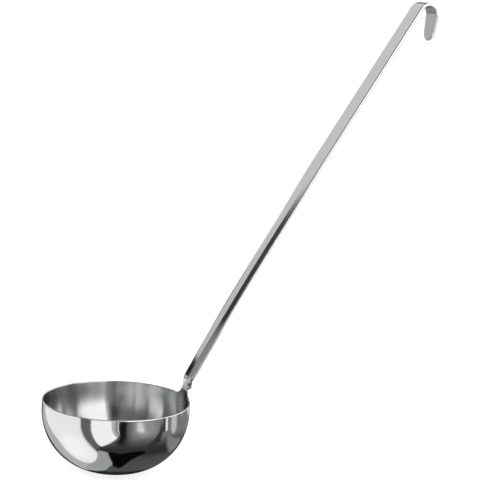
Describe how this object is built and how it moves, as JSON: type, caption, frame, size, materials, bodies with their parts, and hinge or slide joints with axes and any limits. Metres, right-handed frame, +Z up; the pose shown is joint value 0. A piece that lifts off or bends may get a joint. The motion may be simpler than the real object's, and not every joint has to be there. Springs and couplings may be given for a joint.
{
  "type": "soup ladle",
  "caption": "Soup ladle with a deep round bowl, a long stiffened strip handle welded to an ear on its rim, and a wide hook at the top to hang it by.",
  "frame": {"origin": "centre of the hook's bend, on the ladle's plane of symmetry", "axes": "+Z up along the bowl's vertical axis, with the bowl's mouth level; +X from the bowl towards the handle's lean; +Y across the ladle, along the rail that it hangs from"},
  "size_m": [0.3807, 0.14, 0.4537],
  "materials": {
    "bowl_steel": "mirror polished outside, satin inside with fine turned grain",
    "handle_steel": "polished",
    "weld_steel": "ground and blended by hand"
  },
  "bodies": {
    "root": {"bowl": "bowl_steel", "handle": "handle_steel", "neck_weld": "weld_steel"}
  },
  "joints": []
}
